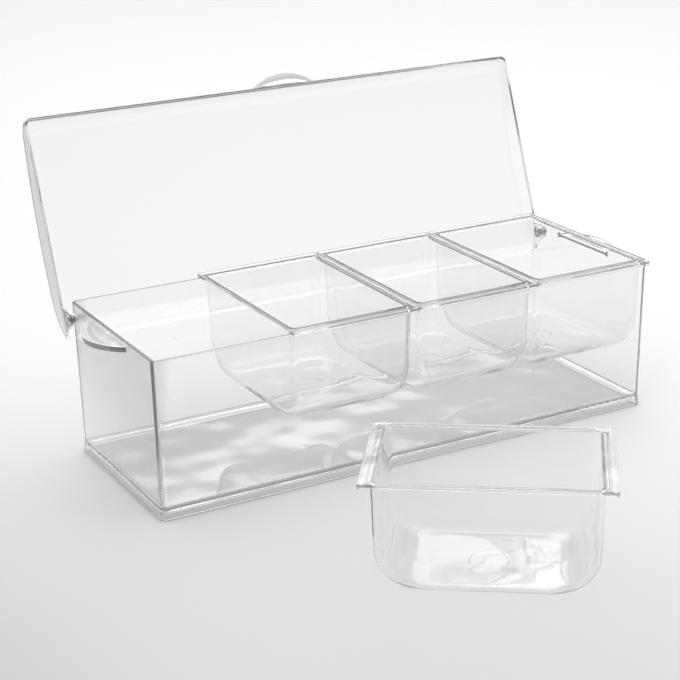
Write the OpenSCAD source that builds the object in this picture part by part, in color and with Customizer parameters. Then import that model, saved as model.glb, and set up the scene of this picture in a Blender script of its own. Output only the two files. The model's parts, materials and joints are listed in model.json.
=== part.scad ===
// Clear condiment caddy: a deep tray for ice, a hinged lid and four lift-out bins.
// The frame's origin is the middle of the tray's underside, on the table.
// X runs along the tray, Y to its hinge side and Z up.
// The lid stands open against the tray's rear wall, and one bin stands in front.

/* [Tray] */
// Length of the tray over its rim
tray_length = 400; // [360:1:440]
// Width of the tray over its rim
tray_width = 146; // [130:1:160]
// Height of the tray's rim above the table
tray_height = 114; // [105:1:130]
// Thickness of the tray's walls
tray_wall = 2.5; // [2:0.1:3.5]
// How far each wall leans in from rim to base
tray_draft = 1.5; // [0.5:0.1:3]
// Outer radius of the tray's upright corners
tray_corner = 4; // [3.5:0.5:8]
// Thickness of the tray's floor
floor_thickness = 2.5; // [2:0.1:4]
// Radius between the tray's floor and walls
floor_fillet = 3; // [1:0.5:6]
// Height of the foot band round the base
foot_height = 7; // [5:0.5:10]
// How far the foot band stands proud of the wall
foot_proud = 0.8; // [0.3:0.1:2]
// Width of the ring that the tray stands on
foot_ring = 3.2; // [2.5:0.1:5]

/* [Handles] */
// Width of each handle along the end wall
handle_chord = 65; // [50:1:80]
// How far each handle reaches out from the end wall
handle_reach = 17.5; // [12:0.5:24]
// Depth of the handles' top below the rim
handle_drop = 3.6; // [3:0.1:10]
// Shift of the handles' middle towards the hinge side
handle_shift = 4.5; // [0:0.5:8]
// Thickness of the handle's web
handle_web = 2.2; // [1.8:0.1:3]
// Thickness of the lip round the handle's edge
handle_lip = 2.2; // [1.8:0.1:4]
// Height of the lip round the handle's edge
handle_lip_height = 4; // [3:0.1:8]

/* [Hinge] */
// Distance of the hinge axis in front of the rear wall's outer face
hinge_inset = 7.5; // [6.5:0.5:9]
// Depth of the hinge axis below the rim
hinge_drop = 10.8; // [9.5:0.1:12]
// Diameter of the studs that the lid turns on
stud_diameter = 5; // [4:0.5:6]
// Play all round a stud in its ear
stud_play = 0.08; // [0.04:0.01:0.1]
// How far a stud shows past the lid's ear
stud_proud = 0.6; // [0.2:0.1:1.5]
// Diameter of the boss behind each ear
boss_diameter = 9; // [8:0.5:11]
// Running gap between a boss and its ear
ear_gap = 0.3; // [0.2:0.1:0.6]
// Radius of the lid's ears round the studs
ear_radius = 6; // [5.5:0.1:8]
// Width that each ear gains on either side where it meets the cheek
ear_spread = 5; // [0:0.5:7]

/* [Lid] */
// Thickness of the lid
lid_wall = 2.1; // [1.8:0.1:2.6]
// How far the lid's free edge reaches below the bins' rims
lid_lap = 1.8; // [1:0.1:2.4]
// Radius of the lid's domed top from front to rear
lid_crown_round = 430; // [350:10:600]
// Shift of the dome's highest line towards the hinge side
lid_crown_shift = 14; // [8:1:20]
// Radius between the dome and the lid's front edge
lid_front_round = 14; // [10:0.5:16]
// Radius between the dome and the lid's rear edge
lid_rear_round = 45; // [38:1:50]
// Gap between the end walls and the lid's cheeks
cheek_gap = 3.5; // [3:0.1:5]
// Gap between the bins' flanges and the lid's front edge
skirt_gap = 0.8; // [0.6:0.1:1.5]
// Gap at which the closed lid's front curve lies on the bins' flanges
lid_rest_gap = 0.3; // [0.2:0.1:0.4]
// Gap between the closed lid's rear curve and the bins' flanges
lid_rear_gap = 0.5; // [0.4:0.1:0.7]
// Angle of the lid's swing from closed to open
lid_open = 110.4; // [100:0.1:115]
// Gap between the open lid's rear edge and the rear wall
lid_stop_gap = 0.35; // [0.3:0.05:1]
// Radius between the lid's dome and its end cheeks
lid_end_round = 3; // [2.6:0.1:4]
// Radius of the lid's corners seen from above
lid_plan_round = 5; // [4:0.5:8]

/* [Lid tab] */
// Width of the finger tab along the lid's front edge
tab_chord = 53; // [40:1:70]
// How far the finger tab stands out
tab_reach = 9; // [6:0.5:12]
// Thickness of the tab's web
tab_web = 1.4; // [1:0.1:2]
// Width of the bead round the tab's edge
tab_bead = 1.8; // [1.2:0.1:2.5]
// Height of the bead round the tab's edge
tab_bead_height = 2.4; // [2.2:0.1:3]
// Shift of the tab's middle along the lid
tab_shift = 3; // [0:0.5:6]

/* [Bins] */
// Height of a bin from its underside to its rim
bin_height = 73.5; // [60:0.5:85]
// Thickness of a bin's walls
bin_wall = 2; // [1.6:0.1:2.4]
// Thickness of a bin's floor
bin_floor = 2.2; // [1.8:0.1:3]
// How far each wall of a bin leans in from rim to base
bin_draft = 1.9; // [1.5:0.1:3]
// Radius between a bin's floor and its short ends
bin_end_round = 26; // [18:1:30]
// Radius between a bin's floor and its long sides
bin_side_round = 8; // [6:0.5:12]
// Outer radius of a bin's upright corners
bin_corner = 6; // [5:0.5:10]
// Play between a bin and the tray's walls
bin_play = 0.4; // [0.3:0.1:0.8]
// Gap between the rims of bins side by side
bin_gap = 0.6; // [0.4:0.1:1.2]
// How far a bin's flanges reach past the tray's walls
flange_reach = 4.8; // [3:0.1:6]
// Thickness of a bin's rim and flanges
rim_thickness = 2.1; // [1.8:0.1:2.6]
// How far the edge of a flange turns down
flange_lip = 1.5; // [1:0.1:2.5]
// Thickness of a flange's turned edge
flange_lip_wall = 1.5; // [1.2:0.1:2]
// Radius of the flanges' corners
flange_corner = 2.5; // [1.5:0.5:4]
// Diameter of the round moulding mark under a bin
gate_diameter = 25; // [16:1:30]
// Depth of the round moulding mark
gate_depth = 0.5; // [0.3:0.1:0.8]

/* [Bin in front] */
// Place of the bin in front, along the tray
front_bin_x = -46; // [-150:1:150]
// Place of the bin in front, towards the tray
front_bin_y = -233; // [-300:1:-200]
// Turn of the bin in front about the upright
front_bin_turn = 54.4; // [0:0.1:90]

/* [Hidden] */
BAYS = 4;
// Facets of a quarter turn in the lofted walls
QUARTER = 6;
// Steps of the curve between a bin's floor and walls
CURVE = 9;
// Steps of the lid's rear curve, dome, front curve and end rims
REAR = 12;
DOME = 16;
FRONT = 9;
RIM = 4;
// Depth by which one shape runs into the next it is joined to
JOIN = 1;
// Margin by which a cut runs past the solid
OVER = 1;
$fn = 96;

clear_plastic = [0.93, 0.95, 0.96, 0.5];

// Tray
tray_base_x = tray_length / 2 - tray_draft;
tray_base_y = tray_width / 2 - tray_draft;
lean = tray_draft / (tray_height - foot_height);
recess_height = foot_height - floor_thickness;

// Bins
bin_pitch = (tray_length - 2 * bin_gap) / BAYS;
bin_seat = tray_height + rim_thickness - bin_height;
rim_half_x = (bin_pitch - bin_gap) / 2;
flange_end = tray_width / 2 + flange_reach;
last_bay_x = bin_pitch * (BAYS - 1) / 2;
body_half_x = tray_length / 2 - tray_wall - last_bay_x - bin_play;
body_half_y = tray_width / 2 - tray_wall - bin_play;
flange_top = tray_height + rim_thickness;

// Hinge
hinge_y = tray_width / 2 - hinge_inset;
hinge_z = tray_height - hinge_drop;

// Lid, in its closed place
skirt_inner = flange_end + skirt_gap;
skirt_outer = skirt_inner + lid_wall;
cheek_inner = tray_length / 2 + cheek_gap;
cheek_outer = cheek_inner + lid_wall;
cheek_edge = flange_top - lid_lap;
// The front curve passes the corner of the front flanges at lid_rest_gap
front_inner = lid_front_round - lid_wall;
front_y = front_inner - skirt_inner;
front_z = flange_top - sqrt(pow(front_inner - lid_rest_gap, 2) - pow(front_inner - skirt_gap, 2));
// The dome runs on from the front curve
crown_inner = lid_crown_round - lid_wall;
crown_y = lid_crown_shift;
crown_z = front_z - sqrt(pow(crown_inner - front_inner, 2) - pow(front_y - crown_y, 2));
front_turn = asin((crown_y - front_y) / (crown_inner - front_inner));
// The rear curve runs on from the dome and passes the corner of the rear flanges at lid_rear_gap
rear_inner = lid_rear_round - lid_wall;
rear_swing = crown_inner - rear_inner;
flange_swing = norm([flange_end - crown_y, flange_top - crown_z]);
rear_turn = atan2(flange_end - crown_y, flange_top - crown_z)
    - acos((pow(rear_swing, 2) + pow(flange_swing, 2) - pow(rear_inner - lid_rear_gap, 2))
           / (2 * rear_swing * flange_swing));
rear_y = crown_y + rear_swing * sin(rear_turn);
rear_z = crown_z + rear_swing * cos(rear_turn);
lid_top = crown_z + lid_crown_round;
// The rear curve ends where its inner corner meets the rear wall with the lid open
rear_mid_open = (rear_y - hinge_y) * cos(lid_open) + (rear_z - hinge_z) * sin(lid_open);
stop_z = hinge_z + (flange_top - hinge_z) * cos(lid_open) - (flange_end - hinge_y) * sin(lid_open);
stop_wall = tray_width / 2 - lean * (tray_height - stop_z);
stop_reach = stop_wall + lid_stop_gap - hinge_y;
rear_end = 180 - asin((stop_reach - rear_mid_open) / rear_inner) - lid_open;

// Points of a level rounded rectangle with half sizes x and y and corner radius r
function ring(x, y, r, z) = [
    for (q = [0:3], i = [0:QUARTER])
        let (a = 90 * q + 90 * i / QUARTER,
             side_x = (q == 0 || q == 3) ? 1 : -1,
             side_y = (q < 2) ? 1 : -1)
        [side_x * (x - r) + r * cos(a), side_y * (y - r) + r * sin(a), z]
];

// A closed skin over a stack of rings, with a flat cap on the first and the last
module skin(rings) {
    n = len(rings[0]);
    last = len(rings) - 1;
    points = [for (one = rings) each one];
    sides = [
        for (k = [0:last - 1], i = [0:n - 1])
            let (j = (i + 1) % n,
                 a = k * n + i,
                 b = k * n + j,
                 c = (k + 1) * n + j,
                 d = (k + 1) * n + i)
            each [[a, d, c], [a, c, b]]
    ];
    first_cap = [for (i = [0:n - 1]) i];
    last_cap = [for (i = [n - 1:-1:0]) last * n + i];
    polyhedron(points = points, faces = concat([first_cap], sides, [last_cap]));
}

// A flat rounded rectangle with half sizes x and y and corner radius r
module rounded_plan(x, y, r) {
    square([2 * (x - r), 2 * y], center = true);
    square([2 * x, 2 * (y - r)], center = true);
    for (sx = [-1, 1], sy = [-1, 1])
        translate([sx * (x - r), sy * (y - r)]) circle(r);
}

// Sets a flat shape upright and extrudes it along X, centred
module along_x(length) {
    rotate([90, 0, 90]) translate([0, 0, -length / 2]) linear_extrude(length) children();
}

// A flat segment of a circle: chord along Y on the line X = 0, bulging to +X by reach
module segment(chord, reach, inset = 0) {
    radius = (pow(chord / 2, 2) + pow(reach, 2)) / (2 * reach);
    intersection() {
        translate([reach - radius, 0]) circle(radius - inset);
        translate([-JOIN, -chord / 2]) square([reach + JOIN, chord]);
    }
}

// ---- Tray ----

function tray_ring(inset, r, z) =
    let (rise = max(z - foot_height, 0) * lean)
    ring(tray_base_x + rise - inset, tray_base_y + rise - inset, r, z);

module tray_shell() {
    corner_in = max(tray_corner - tray_wall, 1);
    fillet = [
        for (i = [0:3])
            let (a = 30 * i)
            tray_ring(tray_wall + floor_fillet * (1 - cos(a)), corner_in + floor_fillet * (1 - cos(a)),
                      foot_height + floor_fillet * (1 - sin(a)))
    ];
    skin(concat([
        tray_ring(foot_ring - foot_proud, corner_in, recess_height),
        tray_ring(foot_ring - foot_proud, corner_in, 0),
        tray_ring(-foot_proud, tray_corner + foot_proud, 0),
        tray_ring(-foot_proud, tray_corner + foot_proud, foot_height - foot_proud),
        tray_ring(0, tray_corner, foot_height),
        tray_ring(0, tray_corner, tray_height),
        tray_ring(tray_wall, corner_in, tray_height)
    ], fillet));
}

module tray_handle() {
    top = tray_height - handle_drop;
    translate([tray_length / 2 - JOIN / 2, handle_shift, 0]) {
        translate([0, 0, top - (handle_lip_height + handle_web) / 2])
            linear_extrude(handle_web) segment(handle_chord, handle_reach, handle_lip / 2);
        translate([0, 0, top - handle_lip_height]) linear_extrude(handle_lip_height)
            difference() {
                segment(handle_chord, handle_reach);
                translate([-2 * JOIN, 0]) segment(handle_chord + 4 * JOIN, handle_reach, handle_lip);
            }
    }
}

module tray_stud() {
    translate([tray_length / 2 - tray_wall / 2, hinge_y, hinge_z]) rotate([0, 90, 0]) {
        cylinder(d = boss_diameter, h = tray_wall / 2 + cheek_gap - ear_gap);
        cylinder(d = stud_diameter, h = tray_wall / 2 + cheek_gap + lid_wall + stud_proud);
    }
}

module tray() {
    color(clear_plastic) {
        tray_shell();
        for (side = [0, 1]) mirror([side, 0, 0]) {
            tray_handle();
            tray_stud();
        }
    }
}

// ---- Lid ----

// Points at x of an arc about (y, z), between angles that turn from the upright towards +Y
function arc(x, y, z, r, from, to, steps) = [
    for (i = [0:steps])
        let (a = from + (to - from) * i / steps)
        [x, y + r * sin(a), z + r * cos(a)]
];

// Section of the lid at x: its rear curve, dome and front curve, thick outside the inner faces
function lid_section(x, thick, low) =
    let (rear = rear_inner + thick, front = front_inner + thick)
    concat(
        arc(x, rear_y, rear_z, rear, acos((low - rear_z) / rear), rear_turn, REAR),
        arc(x, crown_y, crown_z, crown_inner + thick, rear_turn - (rear_turn + front_turn) / DOME,
            -front_turn, DOME - 1),
        arc(x, front_y, front_z, front, -front_turn - (90 - front_turn) / FRONT, -90, FRONT - 1),
        [[x, front_y - front, low]]
    );

// Everything under the lid's section, out to x at either end, where the section shrinks to round the rim
module lid_dome(x, rim, thick) {
    low = min(front_z, cheek_edge) - 2 * OVER;
    turns = [for (i = [0:RIM]) 90 * i / RIM];
    stations = concat(
        [for (i = [RIM:-1:0]) [-(x - rim) - rim * sin(turns[i]), thick - rim * (1 - cos(turns[i]))]],
        [for (a = turns) [x - rim + rim * sin(a), thick - rim * (1 - cos(a))]]
    );
    skin([for (one = stations) lid_section(one[0], one[1], low)]);
}

module lid_block(x, y, plan_r, rim, thick, bottom) {
    intersection() {
        lid_dome(x, rim, thick);
        translate([0, 0, bottom]) linear_extrude(lid_top + OVER - bottom) rounded_plan(x, y, plan_r);
    }
}

module lid_shell() {
    difference() {
        lid_block(cheek_outer, skirt_outer, lid_plan_round, lid_end_round, lid_wall, cheek_edge);
        lid_block(cheek_inner, skirt_inner, lid_plan_round - lid_wall, lid_end_round - lid_wall, 0,
                  cheek_edge - OVER);
        // The rear curve stops short, so that the open lid leans on the rear wall
        along_x(2 * cheek_inner) rear_cut();
    }
}

// The part of the rear curve below the angle at which it ends
module rear_cut() {
    near = rear_inner - lid_wall;
    far = rear_inner + 2 * lid_wall;
    translate([rear_y, rear_z]) polygon([
        [near * sin(rear_end), near * cos(rear_end)],
        [far * sin(rear_end), far * cos(rear_end)],
        [far * sin(rear_end), cheek_edge - rear_z - OVER],
        [near * sin(rear_end), cheek_edge - rear_z - OVER]
    ]);
}

module lid_ear() {
    ear_top = cheek_edge + JOIN - hinge_z;
    translate([cheek_inner, hinge_y, hinge_z]) rotate([90, 0, 90]) linear_extrude(lid_wall)
        difference() {
            union() {
                circle(ear_radius);
                polygon([
                    [-ear_radius, 0],
                    [ear_radius, 0],
                    [ear_radius + ear_spread, ear_top],
                    [-ear_radius - ear_spread, ear_top]
                ]);
            }
            circle(d = stud_diameter + 2 * stud_play);
        }
}

module lid_tab() {
    translate([tab_shift, -skirt_outer + JOIN, cheek_edge]) rotate([0, 0, -90]) {
        linear_extrude(tab_web) segment(tab_chord, tab_reach + JOIN, tab_bead / 2);
        linear_extrude(tab_bead_height) difference() {
            segment(tab_chord, tab_reach + JOIN);
            translate([-2 * JOIN, 0]) segment(tab_chord + 4 * JOIN, tab_reach + JOIN, tab_bead);
        }
    }
}

module lid_closed() {
    lid_shell();
    lid_tab();
    for (side = [0, 1]) mirror([side, 0, 0]) lid_ear();
}

module lid() {
    color(clear_plastic)
        translate([0, hinge_y, hinge_z]) rotate([-lid_open, 0, 0])
            translate([0, -hinge_y, -hinge_z]) lid_closed();
}

// ---- Bins ----

// Level outline of a bin's wall: a leaning wall with a quarter curve to the floor
function bin_ring(inset, z, floor_z) =
    let (up = z - floor_z,
         end_r = bin_end_round - inset,
         side_r = bin_side_round - inset,
         out = bin_draft * (1 - z / bin_height),
         end_in = up < end_r ? end_r - sqrt(pow(end_r, 2) - pow(end_r - up, 2)) : 0,
         side_in = up < side_r ? side_r - sqrt(pow(side_r, 2) - pow(side_r - up, 2)) : 0,
         r = bin_corner - inset + bin_corner * max(0, 1 - up / end_r))
    ring(body_half_x - inset - out - side_in, body_half_y - inset - out - end_in, r, z);

module bin_shell() {
    levels = [for (i = [0:CURVE]) 1 - cos(90 * i / CURVE)];
    outer = [for (k = levels) bin_ring(0, k * bin_end_round, 0)];
    inner = [for (k = levels) bin_ring(bin_wall, bin_floor + k * (bin_end_round - bin_wall), bin_floor)];
    skin(concat(
        outer,
        [bin_ring(0, bin_height, 0), bin_ring(bin_wall, bin_height, bin_floor)],
        [for (i = [CURVE:-1:0]) inner[i]]
    ));
}

// Rim all round, wide enough at the short ends to lie on the tray's long walls
module bin_rim() {
    translate([0, 0, bin_height - rim_thickness]) linear_extrude(rim_thickness) difference() {
        rounded_plan(rim_half_x, flange_end, flange_corner);
        rounded_plan(body_half_x - bin_wall / 2, body_half_y - bin_wall / 2, bin_corner - bin_wall / 2);
    }
    for (side = [-1, 1])
        translate([-(rim_half_x - flange_corner), side * (flange_end - flange_lip_wall / 2) - flange_lip_wall / 2,
                   bin_height - rim_thickness - flange_lip])
            cube([2 * (rim_half_x - flange_corner), flange_lip_wall, flange_lip + rim_thickness / 2]);
}

module bin() {
    color(clear_plastic) difference() {
        union() {
            bin_shell();
            bin_rim();
        }
        translate([0, 0, -OVER]) cylinder(d = gate_diameter, h = OVER + gate_depth);
    }
}

// A bin in its bay, counted from 1 at the left end
module seated_bin(bay) {
    translate([bin_pitch * (bay - (BAYS + 1) / 2), 0, bin_seat]) bin();
}

module bin_in_front() {
    translate([front_bin_x, front_bin_y, 0]) rotate([0, 0, front_bin_turn]) bin();
}

tray();
lid();
bin_in_front();  // bin_1
seated_bin(2);  // bin_2
seated_bin(3);  // bin_3
seated_bin(4);  // bin_4
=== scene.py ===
"""Clear condiment caddy: moulded surfaces, clear plastic, floor, light and camera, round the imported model."""

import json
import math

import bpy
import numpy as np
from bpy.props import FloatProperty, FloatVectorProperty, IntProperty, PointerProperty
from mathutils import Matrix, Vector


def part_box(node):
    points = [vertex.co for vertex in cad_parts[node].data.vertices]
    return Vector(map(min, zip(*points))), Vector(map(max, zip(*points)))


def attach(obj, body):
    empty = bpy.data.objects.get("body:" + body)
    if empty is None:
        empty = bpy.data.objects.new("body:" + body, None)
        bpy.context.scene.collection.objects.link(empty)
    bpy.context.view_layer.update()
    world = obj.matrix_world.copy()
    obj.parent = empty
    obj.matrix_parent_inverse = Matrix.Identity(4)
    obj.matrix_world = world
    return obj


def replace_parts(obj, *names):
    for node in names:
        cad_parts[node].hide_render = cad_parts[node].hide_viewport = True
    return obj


bl_info = {
    "name": "Clear Condiment Caddy",
    "version": (1, 0, 0),
    "blender": (4, 5, 0),
    "location": "3D View > Sidebar > Caddy",
    "description": "Builds a clear plastic condiment caddy with a hinged lid and lift-out bins",
    "category": "Add Mesh",
}

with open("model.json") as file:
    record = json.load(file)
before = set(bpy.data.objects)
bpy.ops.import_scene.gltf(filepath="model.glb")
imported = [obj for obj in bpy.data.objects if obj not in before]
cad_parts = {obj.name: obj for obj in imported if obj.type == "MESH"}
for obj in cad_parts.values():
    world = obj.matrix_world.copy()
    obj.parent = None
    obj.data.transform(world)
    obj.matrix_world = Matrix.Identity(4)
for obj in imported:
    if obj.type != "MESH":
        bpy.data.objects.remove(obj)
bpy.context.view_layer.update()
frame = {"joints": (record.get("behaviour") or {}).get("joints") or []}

TRAY_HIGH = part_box("tray")[1]
BIN_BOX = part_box("bin_2")
BIN_SPAN = BIN_BOX[1] - BIN_BOX[0]
HINGE = next(joint for joint in frame["joints"] if joint["name"] == "lid_hinge")
SEATED_BINS = ("bin_2", "bin_3", "bin_4")
FRONT_BIN = "bin_1"
BOTH_ENDS = (("left", -1), ("right", 1))

# Points in each corner of a rounded rectangle, and how far its flats' end points stand along the flats
CORNER_STEPS = 10
CORNER_SLIDE = 0.0012
# Parts into which the short sides of the lid's rings are cut, so that they follow the dome
END_PARTS = 32
# Share of the climb from the lid's free edge to the dome at which each of its first rings stands
EDGE_CLIMB = (0, 0.04, 0.2, 0.5, 0.8, 0.96)
# Share of the wall at which each row across the lid's free edge stands
EDGE_ROWS = (0.03, 0.08, 0.16, 0.28, 0.72, 0.84, 0.92, 0.97)
# Section of a lid's ear as shares of its thickness and of the way out from its bore
EAR_ACROSS = (0.5, 0.15, 0.04, 0, 0, 0, 0.04, 0.15, 0.85, 0.96, 1, 1, 1, 0.96, 0.85)
EAR_OUT = (0, 0, 0.04, 0.12, 0.5, 0.88, 0.96, 1, 1, 0.96, 0.88, 0.5, 0.12, 0.04, 0)
# Angles off a bin's short end, in degrees, between which the rim's turned edge shrinks to a bead
BEAD_FADE = (35, 80)
# Noise between which scuffs go from none to full
SCUFFED = (0.55, 0.8)

# Radius of the floor's middle, and how far the floor lies under the part
FLOOR_MIDDLE = 0.05
FLOOR_GAP = 0.0002

# Ways along which a shade fades: a direction, and where the fade starts and ends along it. On a piece and on
# the floor these are metres from the middle of the tray's base; round the studio they are cosines.
# Direction along which the painted shade on the tray's left end wall fades
END_SHADE_WAY = (-1.0, 0.0, 0.1)
FOOT_WAY = (0.0, 0.0, 1.0)
# Painted shade on the floor: darker in front, on the left, and in reflections only on the far left
FLOOR_DEPTH_SHADE = ((1.0, 1.0, 0.0), -0.6, 0.2)
FLOOR_CORNER_SHADE = ((1.0, 0.0, 0.0), -0.40, -0.25)
FLOOR_SIDE_SHADE = ((0.953, -0.304, 0.0), -0.6, -0.1)
FLOOR_MIRROR_SHADE = ((1.0, 0.0, 0.0), -0.34, -0.21)
STUDIO_WALL = ((0.55, 0.50, 0.67), -0.35, 0.5)
STUDIO_SOFTBOX = ((0.40, 0.70, 0.60), 0.965, 0.98)


# ---- Sizes and colours that a user would change ----


def length(name, description, default, low=0.0):
    """A length in metres, shown in the scene's units."""
    return FloatProperty(name=name, description=description, default=default, min=low, unit="LENGTH")


def angle(name, description, degrees):
    """An angle, given here in degrees."""
    return FloatProperty(name=name, description=description, default=math.radians(degrees), unit="ROTATION")


def colour(name, description, grey):
    """A plain linear colour, which starts as a grey."""
    return FloatVectorProperty(
        name=name, description=description, default=[grey] * 3, size=3, min=0.0, max=1.0, subtype="COLOR"
    )


def position(name, description, default):
    """A place in metres."""
    return FloatVectorProperty(
        name=name, description=description, default=default, size=3, subtype="TRANSLATION", unit="LENGTH"
    )


def share(name, description, default):
    """A share from 0 to 1."""
    return FloatProperty(
        name=name, description=description, default=default, min=0.0, max=1.0, subtype="FACTOR"
    )


def amount(name, description, default, high):
    """A plain number from 0 up."""
    return FloatProperty(name=name, description=description, default=default, min=0.0, max=high)


class CaddyTraySizes(bpy.types.PropertyGroup):
    """Sizes of the tray and of its handles and studs."""

    rim_length: length("Length", "Length of the tray over its rim", 0.400)
    rim_width: length("Width", "Width of the tray over its rim", 0.146)
    height: length("Height", "Height of the rim above the table", TRAY_HIGH.z)
    wall: length("Wall", "Thickness of the walls", 0.0025)
    draft: length("Draft", "How far each wall leans in from rim to base", 0.0015)
    corner: length("Corner", "Outer radius of the upright corners", 0.004)
    floor: length("Floor", "Thickness of the floor", 0.0025)
    floor_fillet: length("Floor fillet", "Radius between the floor and the walls", 0.003)
    foot_height: length("Foot height", "Height of the band round the base", 0.007)
    foot_proud: length("Foot band", "How far the band stands proud of the wall", 0.0008)
    foot_ring: length("Foot ring", "Width of the ring that the tray stands on", 0.0032)
    rim_round: length("Rim round", "Radius of the rim's edges", 0.0009)
    handle_chord: length("Handle width", "Width of each handle along the end wall", 0.065)
    handle_reach: length("Handle reach", "How far each handle reaches out", 0.0175)
    handle_drop: length("Handle drop", "Depth of the handles' top below the rim", 0.0036)
    handle_shift: length("Handle shift", "Shift of the handles towards the hinge side", 0.0045)
    handle_web: length("Handle web", "Thickness of the handles' web", 0.0022)
    handle_lip: length("Handle lip", "Thickness of the lip round the handles", 0.0022)
    handle_lip_height: length("Handle lip height", "Height of the lip round the handles", 0.004)
    boss: length("Boss", "Diameter of the boss behind each ear", 0.009)
    boss_reach: length("Boss reach", "How far the boss stands out from the end wall", 0.0032)
    stud: length("Stud", "Diameter of the studs that the lid turns on", 0.005)
    stud_reach: length("Stud reach", "How far the studs stand out from the end wall", 0.0062)


class CaddyLidSizes(bpy.types.PropertyGroup):
    """Sizes of the lid in its closed place, and how far it stands open."""

    wall: length("Wall", "Thickness of the lid", 0.0021)
    half_length: length("Half length", "Half the length of the lid over its cheeks", 0.2056)
    half_width: length("Half width", "Half the width of the lid over its edges", 0.0807)
    top: length("Top", "Height of the closed lid's dome above the table", 0.13463)
    edge: length("Edge", "Height of the closed lid's free edge above the table", 0.1143)
    crown_round: length("Dome round", "Outer radius of the dome from front to rear", 0.430)
    crown_shift: length("Dome shift", "Shift of the dome's highest line towards the hinge side", 0.014)
    front_round: length("Front round", "Outer radius between the dome and the front edge", 0.014)
    rear_round: length("Rear round", "Outer radius between the dome and the rear edge", 0.045)
    rear_turn: angle("Rear turn", "Angle from the upright at which the rear curve starts", 4.733)
    rear_end: angle("Rear end", "Angle from the upright at which the rear curve ends", 49.786)
    end_round: length("End round", "Outer radius between the dome and the end cheeks", 0.003)
    plan_round: length("Plan round", "Outer radius of the corners seen from above", 0.005)
    edge_round: length("Edge round", "Radius of the free edge's corners", 0.0005)
    ear: length("Ear", "Radius of the ears round the studs", 0.006)
    ear_spread: length("Ear spread", "Width that each ear gains where it meets the cheek", 0.005)
    ear_bore: length("Ear bore", "Diameter of the holes in the ears", 0.00516)
    tab_chord: length("Tab width", "Width of the finger tab along the front edge", 0.053)
    tab_reach: length("Tab reach", "How far the finger tab stands out", 0.009)
    tab_shift: length("Tab shift", "Shift of the tab's middle along the lid", 0.003)
    tab_web: length("Tab web", "Thickness of the tab's web", 0.0011)
    tab_recess: length("Tab recess", "Depth of the web below the bead on the underside", 0.0011)
    tab_round: length("Tab round", "Radius of the outer edges of the tab's bead", 0.0008)
    tab_bead: length("Tab bead", "Width of the bead round the tab's edge", 0.0018)
    tab_bead_height: length("Tab bead height", "Height of the bead round the tab's edge", 0.0024)


class CaddyBinSizes(bpy.types.PropertyGroup):
    """Sizes of one bin, which stands on its own base."""

    half_length: length("Half length", "Half the length of the walls at the rim", 0.0701)
    half_width: length("Half width", "Half the width of the walls at the rim", 0.04755)
    height: length("Height", "Height of the bin", BIN_SPAN.z)
    wall: length("Wall", "Thickness of the walls", 0.002)
    floor: length("Floor", "Thickness of the floor", 0.0022)
    draft: length("Draft", "How far each wall leans in from rim to base", 0.0019)
    end_round: length("End round", "Radius between the floor and the short ends", 0.026)
    side_round: length("Side round", "Radius between the floor and the long sides", 0.008)
    corner: length("Corner", "Outer radius of the upright corners", 0.006)
    rim_half_length: length("Rim half length", "Half the length over the flanges", BIN_SPAN.y / 2)
    rim_half_width: length("Rim half width", "Half the width over the rim", BIN_SPAN.x / 2)
    rim: length("Rim", "Thickness of the rim and flanges", 0.0021)
    rim_round: length("Rim round", "Radius of the rim's edges", 0.00063)
    rim_bead: share("Rim bead", "Share of the turned edge that the rim keeps along its long sides", 0.12)
    rim_corner: length("Rim corner", "Radius of the flanges' corners", 0.0025)
    lip: length("Lip", "How far the edge of a flange turns down", 0.0015)
    lip_wall: length("Lip wall", "Thickness of a flange's turned edge", 0.0015)
    gate: length("Moulding mark", "Diameter of the round mark under the floor", 0.025)
    gate_depth: length("Mark depth", "Depth of the round mark", 0.0005)
    front_x: length("Front bin X", "Place of the bin in front, along the tray", -0.046, -1.0)
    front_y: length("Front bin Y", "Place of the bin in front, towards the tray", -0.233, -1.0)
    front_turn: angle("Front bin turn", "Turn of the bin in front about the upright", 54.4)


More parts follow.
